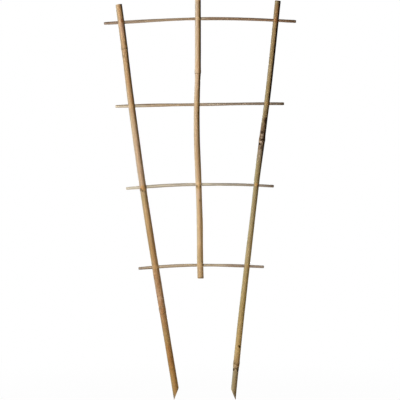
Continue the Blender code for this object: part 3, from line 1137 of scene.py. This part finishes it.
# %% The tan left cane
LEFT_SKIN = Skin(
    tones=(
        (0.0, (0.6, 0.375, 0.185), (0.8, 0.48, 0.2)),
        (0.2, (0.595, 0.38, 0.2), (0.74, 0.395, 0.137)),
        (0.36, (0.55, 0.37, 0.205), (0.67, 0.415, 0.2)),
        (0.46, (0.57, 0.375, 0.225), (0.63, 0.405, 0.225)),
        (0.48, (0.48, 0.31, 0.155), (0.49, 0.29, 0.13)),
        (0.62, (0.455, 0.265, 0.105), (0.475, 0.27, 0.105)),
        (0.72, (0.405, 0.235, 0.115), (0.53, 0.33, 0.17)),
        (0.9, (0.4, 0.2, 0.053), (0.465, 0.235, 0.066)),
        (1.0, (0.355, 0.19, 0.067), (0.52, 0.3, 0.083)),
    ),
    # painted sheen and shade on the lit left flank
    left_sheen_and_shade=(0.78, 0.96, 1.22),
    zones=(
        (-20, 620, (0.24, 0.13, 0.06), 0.2, 0.45, (1.5, 2.4)),
        (40, 120, BROWN, 0.25, 0.35, (2.0, 4.0)),
        (385, 490, (0.56, 0.38, 0.25), 0.35, 0.5, (5.0, 9.0)),
        (385, 470, (0.24, 0.11, 0.05), 0.55, 0.35, (3.0, 4.5)),
        (420, 490, (0.42, 0.19, 0.06), 0.5, 0.5, (2.6, 5.0)),
        (440, 480, BROWN, 0.45, 0.3, (1.6, 1.8)),
        (500, 590, RUSSET, 0.35, 0.3, (2.4, 8.0)),
    ),
    marks=(
        # dark top right corner: painted shade
        (0.8, 0.62, 3.4, 2.6, DARK, 0.8, 0.5),
        (12, 0.25, 2.6, 20, (0.62, 0.33, 0.13), 0.45, 0.7),
        (16.0, 0.44, 3.0, 7.0, (0.56, 0.34, 0.15), 0.6, 0.6),
        (40.0, 0.45, 3.6, 22, (0.36, 0.16, 0.08), 0.55, 0.7),
        # along the lit left flank, greyer and darker: painted sheen and shade
        (95, -0.88, 3.4, 230, (0.31, 0.22, 0.125), 0.4, 0.35),
        (12.0, -0.8, 3.4, 34, (0.36, 0.29, 0.18), 0.4, 0.7),
        (34.0, -0.7, 3.4, 22, (0.36, 0.29, 0.18), 0.4, 0.8),
        (32, 0.3, 3.5, 5.0, (0.5, 0.28, 0.16), 0.45, 0.5),
        (34, -0.1, 7.0, 26, (0.58, 0.37, 0.25), 0.5, 0.7),
        # dark along the right edge: painted shade
        (52, 0.96, 3.0, 46, DARK, 0.75, 0.6),
        (25.6, 0.34, 2.8, 7.0, (0.29, 0.09, 0.028), 0.88, 0.5),
        (62.4, -0.66, 2.0, 2.2, BROWN, 0.5),
        (67.0, 0.6, 2.4, 2.0, DARK, 0.6),
        (67.2, -0.7, 1.8, 1.8, DARK, 0.5),
        (76.0, -0.72, 1.6, 2.0, DARK, 0.6),
        (78.8, -0.46, 2.8, 4.2, (0.2, 0.11, 0.05), 0.65, 0.5),
        (92, -0.3, 8.0, 26, OLIVE, 0.15, 0.8),
        (128, 0.1, 2.4, 36, ORANGE, 0.35, 0.8),
        (145, 0.34, 2.8, 18, (0.5, 0.24, 0.08), 0.5, 0.7),
        (190, -0.2, 9.0, 40, CREAM, 0.25, 0.8),
        (230, 0.0, 10, 80, PINKISH, 0.3, 0.8),
        (278.2, 0.0, 8.0, 8.0, (0.54, 0.28, 0.09), 0.75, 0.5),
        # dark spots round the third hole, where the second node also lies: painted shadow at the hole's
        # edges, with the node's own dark spots
        (279.0, -0.66, 3.8, 3.4, DARK, 0.75, 0.4),
        (281.8, -0.24, 3.4, 3.4, DARK, 0.75, 0.4),
        (276.6, 0.74, 3.4, 5.0, DARK, 0.55, 0.5),
        (293, -0.1, 9.0, 16, OLIVE, 0.45, 0.8),
        (320, -0.1, 8.0, 36, (0.6, 0.4, 0.19), 0.3, 0.8),
        (412, -0.1, 8.0, 26, (0.34, 0.155, 0.04), 0.35, 0.8),
        (444, -0.5, 7.0, 26, (0.6, 0.42, 0.28), 0.25, 0.8),
        (442, -0.75, 2.4, 2.2, DARK, 0.8),
        (457.5, 0.3, 1.4, 2.4, DARK, 0.6),
        (459.6, -0.45, 1.3, 1.8, DARK, 0.55),
        (452, -0.1, 7.0, 9.0, RUSSET, 0.3, 0.6),
        (463, 0.05, 6.5, 5.0, RUSSET, 0.45, 0.5),
        (503, 0.0, 9.0, 22, OLIVE, 0.3, 0.8),
        (524, 0.05, 2.8, 9.0, RUSSET, 0.7, 0.6),
        (536, -0.05, 3.4, 9.0, RUSSET, 0.7, 0.5),
        (545.5, 0.1, 3.2, 9.0, RUSSET, 0.6, 0.5),
        (552.5, -0.1, 3.0, 3.6, (0.22, 0.12, 0.035), 0.55, 0.5),
        (570, 0.1, 7.0, 40, (0.5, 0.29, 0.1), 0.35, 0.8),
        (575, -0.7, 3.4, 44, (0.3, 0.22, 0.09), 0.45, 0.8),
        (598, -0.85, 8.0, 14, (0.15, 0.13, 0.11), 0.75, 0.7),
    ),
    # painted shade on the right edge
    shade_and_mould_edges=(
        (-20, 110, 0.45, 0.75),
        (110, 200, 0.5, 0.4),
    ),
    fresh=(0.82, 0.5, 0.2),
    fresh_strength=0.5,
    streak=(0.36, 0.19, 0.08),
)
skin_finish(LEFT, LEFT_SKIN)

# %% The pale centre cane
CENTRE_SKIN = Skin(
    tones=(
        (0.0, (0.6, 0.42, 0.26), (0.515, 0.25, 0.068)),
        (0.25, (0.73, 0.525, 0.325), (0.56, 0.28, 0.07)),
        (0.27, (0.69, 0.475, 0.28), (0.48, 0.238, 0.06)),
        (0.5, (0.6, 0.405, 0.225), (0.52, 0.31, 0.12)),
        (0.62, (0.63, 0.42, 0.235), (0.64, 0.4, 0.19)),
        (0.84, (0.61, 0.4, 0.205), (0.61, 0.385, 0.155)),
        (1.0, (0.55, 0.35, 0.165), (0.455, 0.26, 0.11)),
    ),
    # painted sheen and shade on the lit left flank
    left_sheen_and_shade=(0.87, 1.03, 1.25),
    zones=(
        (150, 260, (0.46, 0.27, 0.13), 0.3, 0.4, (3.0, 6.0)),
        (385, 440, (0.3, 0.16, 0.08), 0.35, 0.4, (2.0, 4.0)),
    ),
    marks=(
        (99, 0.0, 9.0, 20, (0.62, 0.36, 0.18), 0.35, 0.7),
        (122, -0.2, 6.0, 22, PINKISH, 0.3, 0.8),
        (169.7, 0.2, 7.0, 1.2, BROWN, 0.3, 0.5),
        (174.2, 0.2, 7.0, 1.2, BROWN, 0.26, 0.5),
        (178.7, 0.2, 7.0, 1.2, BROWN, 0.26, 0.5),
        (275.4, -0.3, 4.4, 4.6, (0.86, 0.63, 0.38), 0.4, 0.6),
        (281.0, 0.15, 3.6, 9.0, (0.62, 0.36, 0.12), 0.6, 0.6),
        (277.0, 0.84, 2.8, 2.2, (0.9, 0.76, 0.55), 0.9),
        # the very dark spots at -0.62 and 0.66 across, below the third hole: painted shadow at the hole's
        # edges
        (279.6, -0.62, 3.2, 4.0, (0.08, 0.05, 0.012), 0.8, 0.4),
        (281.8, -0.35, 3.0, 3.0, (0.34, 0.21, 0.06), 0.55, 0.5),
        (280.1, 0.66, 2.8, 3.0, (0.09, 0.04, 0.015), 0.65, 0.5),
        (291, -0.1, 9.0, 14, PINKISH, 0.4, 0.7),
        (301, 0.22, 1.8, 3.4, DARK, 0.55),
        (387, 0.0, 10, 18, OLIVE, 0.28, 0.8),
        # dark rim at the sawn foot: painted shade
        (416.8, 0.1, 11.0, 2.4, (0.22, 0.15, 0.08), 0.6, 0.5),
        (30, 0.75, 2.8, 18, (0.25, 0.08, 0.03), 0.5, 0.6),
        (48, 0.5, 3.6, 104, (0.46, 0.25, 0.01), 0.3, 0.5),
        (150, 0.5, 3.6, 84, (0.4, 0.2, 0.03), 0.3, 0.5),
    ),
    # painted shade on the right edge
    shade_and_mould_edges=(
        (-20, 96, 0.4, 0.7),
        (96, 205, 0.45, 0.45),
    ),
    fresh=(0.86, 0.56, 0.24),
    fresh_strength=0.45,
    streak=(0.42, 0.25, 0.12),
)
skin_finish(CENTRE, CENTRE_SKIN)

# %% The olive right cane
RIGHT_SKIN = Skin(
    tones=(
        (0.0, (0.41, 0.255, 0.115), (0.275, 0.11, 0.022)),
        (0.21, (0.385, 0.27, 0.12), (0.28, 0.14, 0.027)),
        (0.265, (0.41, 0.295, 0.135), (0.29, 0.15, 0.033)),
        (0.32, (0.38, 0.268, 0.116), (0.3, 0.16, 0.045)),
        (0.4, (0.365, 0.27, 0.12), (0.315, 0.19, 0.063)),
        (0.55, (0.43, 0.325, 0.16), (0.425, 0.29, 0.105)),
        (0.76, (0.465, 0.325, 0.132), (0.375, 0.242, 0.067)),
        (0.88, (0.54, 0.347, 0.137), (0.485, 0.295, 0.092)),
        (0.91, (0.5, 0.32, 0.147), (0.455, 0.265, 0.103)),
        (0.93, (0.4, 0.303, 0.165), (0.366, 0.254, 0.115)),
        (1.0, (0.405, 0.293, 0.13), (0.345, 0.223, 0.085)),
    ),
    # painted sheen and shade on the lit left flank
    left_sheen_and_shade=(0.85, 0.98, 1.17),
    zones=(
        (156, 190, (0.17, 0.1, 0.05), 0.55, 0.5, (2.2, 3.0)),
        (174, 238, (0.27, 0.185, 0.115), 0.85, 1.4, (4.0, 6.0)),
        (170, 234, (0.08, 0.045, 0.02), 0.85, 0.55, (2.2, 2.6)),
        (536, 562, BROWN, 0.4, 0.4, (2.0, 2.4)),
    ),
    marks=(
        # along the lit left flank, greyer and darker: painted sheen and shade
        (60, -0.88, 3.0, 150, (0.2, 0.15, 0.09), 0.35, 0.35),
        (176, -0.8, 2.8, 34, (0.52, 0.46, 0.3), 0.35, 0.5),
        (275, -0.85, 2.8, 60, (0.55, 0.46, 0.28), 0.3, 0.5),
        (3, -0.2, 8.0, 8.0, (0.26, 0.22, 0.12), 0.7, 0.6),
        (16, 0.1, 4.6, 26, (0.34, 0.17, 0.07), 0.55, 0.7),
        (29.6, 0.1, 6.0, 7.0, (0.33, 0.135, 0.05), 0.8, 0.5),
        (0.3, 0.0, 9.0, 1.6, DARK, 0.6, 0.5),
        (181, 0.52, 6.0, 10.0, MOULD_AND_SHADE, 1.0),
        (178.6, 0.0, 2.8, 2.6, BROWN, 0.75),
        (190.4, -0.1, 3.4, 2.6, BROWN, 0.6),
        (190, -0.2, 7.0, 18, (0.2, 0.125, 0.06), 0.35, 0.7),
        (199.2, -0.35, 4.8, 4.6, (0.065, 0.04, 0.022), 0.9),
        (203.2, -0.2, 4.0, 3.4, (0.42, 0.31, 0.22), 0.85),
        (208.2, -0.72, 2.8, 3.4, (0.09, 0.05, 0.022), 0.75),
        (207.0, -0.3, 3.0, 2.6, (0.5, 0.37, 0.25), 0.65),
        (207.4, -0.05, 2.4, 2.0, (0.52, 0.39, 0.28), 0.55),
        (213.8, -0.3, 4.4, 3.2, (0.58, 0.43, 0.31), 0.9),
        (209.2, 0.28, 3.4, 2.6, MOULD_AND_SHADE, 1.0),
        (210.5, -0.22, 2.8, 2.8, MOULD_AND_SHADE, 1.0),
        (218.8, -0.3, 4.0, 3.4, (0.5, 0.38, 0.27), 0.5),
        (216.6, -0.8, 3.8, 3.4, MOULD_AND_SHADE, 0.95),
        (217.2, -0.4, 3.0, 2.4, (0.07, 0.04, 0.02), 0.85),
        (221.6, 0.1, 3.6, 6.0, (0.08, 0.04, 0.02), 0.75),
        (227.6, -0.35, 3.4, 4.6, (0.46, 0.34, 0.25), 0.7),
        (234, -0.2, 8.0, 18, GREYISH, 0.45, 0.8),
        (277.5, 0.1, 5.4, 4.6, (0.6, 0.33, 0.11), 0.65, 0.5),
        # dark below the third hole: painted shadow at the hole's edge
        (280.2, 0.58, 2.8, 3.0, (0.14, 0.055, 0.02), 0.7, 0.4),
        (376, 0.3, 2.6, 28, (0.42, 0.25, 0.1), 0.25, 0.8),
        (385, -0.25, 6.0, 32, (0.62, 0.47, 0.26), 0.3, 0.8),
        (399, 0.1, 4.6, 5.0, (0.52, 0.36, 0.14), 0.5, 0.5),
        (596, -0.3, 6.0, 16, (0.15, 0.13, 0.1), 0.6, 0.8),
        (521.2, 0.36, 4.0, 2.6, (0.075, 0.034, 0.004), 1.0),
        (522.8, 0.6, 3.0, 3.2, (0.075, 0.034, 0.004), 1.0),
        (547.6, -0.6, 3.0, 2.0, (0.1, 0.07, 0.025), 0.75),
        (549.4, 0.35, 4.4, 2.0, (0.14, 0.06, 0.03), 0.75),
        (552.0, -0.15, 4.6, 3.2, (0.5, 0.33, 0.2), 0.5),
        (557.0, -0.75, 3.0, 4.0, MOULD_AND_SHADE, 0.9),
        (556.6, 0.68, 3.4, 7.0, MOULD_AND_SHADE, 0.85),
        (547.5, 0.88, 2.4, 7.0, DARK, 0.75),
    ),
    # painted shade on the right edge, with a dark mould stain in it
    shade_and_mould_edges=(
        (-20, 150, 0.15, 1.0),
        (190, 207, 0.1, 1.0),
        (207, 218, 0.42, 0.95),
        (218, 240, 0.3, 0.9),
        (240, 260, 0.4, 0.65),
    ),
    fresh=(0.54, 0.28, 0.09),
    fresh_strength=0.6,
    streak=(0.26, 0.17, 0.06),
)
skin_finish(RIGHT, RIGHT_SKIN)

# %% [markdown]
# ## Cut bamboo and the hollow
#
# Where bamboo is cut, the ends of its fibre bundles show as small dark dots in paler wood, densest near the
# skin. On a slanted cut the same bundles show as long dashes. A cell pattern that is squeezed along the
# cane gives both from one recipe.

# %% The cut wood recipe


def cut_finish(material, pale, dark, roughness):
    """Fills in the material of sawn faces or of the hollow's lining."""
    shader, grain = open_finish(material)
    squeezed = vector_maths("MULTIPLY", grain, (1.0, 1.0, 0.03))
    sockets = {"Vector": squeezed, "Scale": 2.2}
    cells = add_node(grain.tree, "ShaderNodeTexVoronoi", {"feature": "F1"}, sockets)
    dots = step_between(cells, 0.32, 0.16)
    cloud = streaks(grain, 1.5, 12, 4.0)
    colour = blend(pale, dark, dots * 0.75)
    colour = blend(colour, dark, step_between(cloud, 0.45, 0.75) * 0.35)
    close_finish(shader, colour, roughness, cloud - dots * 0.5, 0.08, 0.6)


cut_finish(cut_wood, (0.62, 0.45, 0.25), (0.25, 0.14, 0.06), 0.8)
cut_finish(hollow_lining, (0.42, 0.31, 0.17), (0.16, 0.10, 0.05), 0.9)

# %% [markdown]
# ## The rungs' finish
#
# The rungs are greyer and rougher than the canes, because split bamboo has little of its waxy skin left.
# Each stick has its own tone, from reddish brown at the top to pale grey at the third. Its pale and dark
# bands are painted
# light and painted shade: the side towards the lamp, a bright spot beside a cane, a shaded edge and a shaded
# right end.

# %% The rung recipe
NEARLY_BLACK = (0.02, 0.01, 0.005)
# painted light on the rungs: a lit side or a bright spot beside a cane
PAINTED_RUNG_LIGHT = (0.80, 0.70, 0.50)


def stick_finish(rung, tones, light_and_shade_bands):
    """Fills in a rung's skin. A band of painted light or painted shade runs along it from start to end, at a
    height and as wide as it says.
    """
    piece = sticks[rung.node]
    shader, grain = open_finish(piece.data.materials[SKIN])
    whole = max(value.vector.z for value in piece.data.attributes[GRAIN].data)
    along = coordinate(grain, 2)
    broad = streaks(grain, 1.4, 40, rung.seed)
    fine = streaks(grain, 0.3, 14, rung.seed + 3, detail=3)
    upwards = coordinate(grain, 1) + (broad - 0.5) * 1.5
    colour = run_through(tones, along / whole)
    # Painted light and painted shade: each band lightens or darkens one side of the stick, a spot by a
    # crossing, or its right end.
    for start, end, height, width, tone, strength in light_and_shade_bands:
        mask = band(upwards - height, 0.8 * width, 0.3 * width) * window(along, start, end, 8)
        colour = blend(colour, tone, mask * strength)
    colour = blend(colour, NEARLY_BLACK, step_between(broad, 0.45, 0.75) * 0.30)
    colour = blend(colour, HAIRLINE, step_between(fine, 0.52, 0.72) * 0.40)
    close_finish(shader, colour, fine * 0.25 + 0.50, fine + broad, 0.06, 0.6)


STICK_LOOKS = {  # the tones along each rung, and its bands of painted light and painted shade
    "top_rung": (
        (
            (0, (0.37, 0.27, 0.2)), (0.3, (0.46, 0.33, 0.215)), (0.52, (0.4, 0.27, 0.17)),
            (0.75, (0.35, 0.225, 0.14)), (1, (0.225, 0.135, 0.08)),
        ),
        (
            (0, 12, 0.6, 1.6, SHADOWY, 0.5),
            (142, 152, 0.2, 1.4, PAINTED_RUNG_LIGHT, 0.5),
            (281, 292, 0.0, 5.0, SHADOWY, 0.5),
        ),
    ),
    "second_rung": (
        (
            (0, (0.61, 0.48, 0.35)), (0.3, (0.53, 0.38, 0.24)), (0.6, (0.44, 0.34, 0.25)),
            (0.8, (0.33, 0.25, 0.18)), (1, (0.22, 0.17, 0.12)),
        ),
        (
            (-5, 44, -0.5, 1.3, PAINTED_RUNG_LIGHT, 0.7),
            (0, 60, 1.1, 0.9, SHADOWY, 0.5),
            (138, 158, 0.1, 1.2, PAINTED_RUNG_LIGHT, 0.45),
            (248, 258, 0.0, 5.0, SHADOWY, 0.6),
        ),
    ),
    "third_rung": (
        (
            (0, (0.72, 0.64, 0.5)), (0.3, (0.7, 0.6, 0.46)), (0.6, (0.52, 0.45, 0.35)),
            (0.85, (0.4, 0.33, 0.25)), (1, (0.28, 0.22, 0.165)),
        ),
        (
            (26, 60, 0.3, 1.1, PAINTED_RUNG_LIGHT, 0.7),
            (108, 128, 0.5, 1.6, PAINTED_RUNG_LIGHT, 0.7),
            (20, 110, -1.7, 0.8, SHADOWY, 0.45),
            (217, 226, 0.0, 5.0, SHADOWY, 0.4),
        ),
    ),
    "bottom_rung": (
        (
            (0, (0.36, 0.28, 0.21)), (0.12, (0.53, 0.41, 0.28)), (0.5, (0.5, 0.38, 0.25)),
            (0.75, (0.42, 0.31, 0.22)), (1, (0.35, 0.27, 0.2)),
        ),
        (
            (-5, 30, -1.5, 1.2, SHADOWY, 0.6),
            (30, 110, -1.8, 0.8, SHADOWY, 0.4),
            (92, 130, 0.4, 1.4, PAINTED_RUNG_LIGHT, 0.4),
        ),
    ),
}
for rung in RUNGS:
    stick_finish(rung, *STICK_LOOKS[rung.node])

# %% [markdown]
# ## Hanging the pieces on the frame
#
# Nothing on this trellis moves, so there is one body, and every piece rides on it. Each piece says which
# imported solid it stands for. The distance between the new skin and the imported solid is measured, because
# the dressed trellis has to keep the size of the imported one.

# %% Ride on the body, hide the imported solids, and measure
for cane in CANES:
    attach(uprights[cane.node], "root")
    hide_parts(cane.node)
for rung in RUNGS:
    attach(sticks[rung.node], "root")
    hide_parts(rung.node)

for name, piece in {**uprights, **sticks}.items():
    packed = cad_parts[name].data
    faces = [face.vertices[:] for face in packed.polygons]
    solid = BVHTree.FromPolygons([v.co for v in packed.vertices], faces)
    offs = [solid.find_nearest(v.co)[3] for v in piece.data.vertices]
    print(name, f"lies at most {max(offs) * 1000:.2f} mm from the packed solid")

# %% [markdown]
# ## Floor, light and camera
#
# The photograph has a white ground and a lamp on the left, so the canes are light on their left and dark
# on their right. The world is white only where the camera or a reflection looks at it. It gives no other
# light, or it would wash that dark side out. The floor is nearly white of its own for the camera, and
# keeps a trace of the shadow near the trellis.

# %% The world
world = bpy.data.worlds.new("studio")
bpy.context.scene.world = world
world.use_nodes = True


def seen_directly(tree):
    """1 where the camera, a reflection or a clear material looks, and 0 for light that falls on things."""
    kinds = ("Is Camera Ray", "Is Glossy Ray", "Is Transmission Ray")
    camera, glossy, clear = (add_node(tree, "ShaderNodeLightPath", output=kind) for kind in kinds)
    return camera.maths("MAXIMUM", camera, camera.maths("MAXIMUM", glossy, clear))


sky = world.node_tree.nodes["Background"]
plug(sky, "Color", (1, 1, 1, 1))
plug(sky, "Strength", seen_directly(world.node_tree))

# %% The floor
FLOOR_REACH = 8.0
FLOOR_WHITE = 0.97  # share of its own white near the trellis, and 1 further out
NEAR, FAR = 0.2, 0.7  # metres from the trellis, between which that changes
floor_bm = bmesh.new()
bmesh.ops.create_grid(floor_bm, x_segments=1, y_segments=1, size=FLOOR_REACH)
floor_paint = bpy.data.materials.new("pale_floor")
lowest = min(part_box(name)[0].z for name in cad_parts)
floor = settle(floor_bm, "floor", (floor_paint,), Matrix.Translation((0, 0, lowest - 0.5 * MM)))
floor_paint.use_nodes = True
floor_tree = floor_paint.node_tree
matt = floor_tree.nodes["Principled BSDF"]
plug(matt, "Base Color", (0.9, 0.9, 0.9, 1))
plug(matt, "Roughness", 1.0)
white = add_node(floor_tree, "ShaderNodeEmission", sockets={"Strength": 1.0})
spot = add_node(floor_tree, "ShaderNodeTexCoord", output="Object")
away = step_between(vector_maths("LENGTH", spot, (0, 0, 0), "Value"), NEAR, FAR)
whitened = seen_directly(floor_tree) * (away * (1 - FLOOR_WHITE) + FLOOR_WHITE)
parts = {0: whitened, 1: Field(matt.outputs["BSDF"]), 2: white}
both = add_node(floor_tree, "ShaderNodeMixShader", sockets=parts)
plug(floor_tree.nodes["Material Output"], "Surface", both)

# %% The lamps
AIM = Vector((-0.0036, 0.0, 0.1788))  # the middle of the picture


def beside(turn, height, away):
    """A place so many degrees to the right of the camera, so high and so far from the trellis."""
    angle = math.radians(turn)
    return Vector((AIM.x + math.sin(angle) * away, -math.cos(angle) * away, height))


def soft_lamp(name, place, towards, size, brightness, spread=180):
    """A soft lamp. At brightness 1 and full spread, white that faces it at its target renders as white."""
    aim = place - towards
    data = bpy.data.lights.new(name, "AREA")
    data.shape = "RECTANGLE"
    data.size, data.size_y = size
    data.spread = math.radians(spread)
    data.energy = brightness * (math.pi * aim.length) ** 2
    lamp = bpy.data.objects.new(name, data)
    bpy.context.scene.collection.objects.link(lamp)
    lamp.visible_camera = False
    lamp.matrix_world = Matrix.Translation(place) @ aim.to_track_quat("Z", "Y").to_matrix().to_4x4()


soft_lamp("key", beside(-52.5, 0.24, 2.0), beside(0, 0.24, 0), (0.5, 0.7), 1.05)
soft_lamp("low_fill", beside(62, 0.04, 0.8), beside(0, 0.04, 0), (0.20, 0.32), 0.008, spread=22.6)
soft_lamp("behind", beside(180, 0.20, 2.0), beside(0, 0.20, 0), (0.6, 0.9), 0.85)
soft_lamp("overhead", Vector((0, 0.2, 1.9)), Vector((0, 0.2, 0)), (0.8, 0.8), 0.155)

# %% The camera
CAMERA_AWAY = 2.5
SEEN_WIDTH = 0.6  # metres across the picture at the trellis
camera_data = bpy.data.cameras.new("camera")
camera_data.lens = CAMERA_AWAY / SEEN_WIDTH * camera_data.sensor_width
camera = bpy.data.objects.new("camera", camera_data)
bpy.context.scene.collection.objects.link(camera)
camera.location = AIM + Vector((0, -CAMERA_AWAY, 0))
camera.rotation_euler = (math.pi / 2, 0, 0)
bpy.context.scene.camera = camera
bpy.context.scene.view_settings.view_transform = "Standard"
print(f"lens {camera_data.lens:.0f} mm")
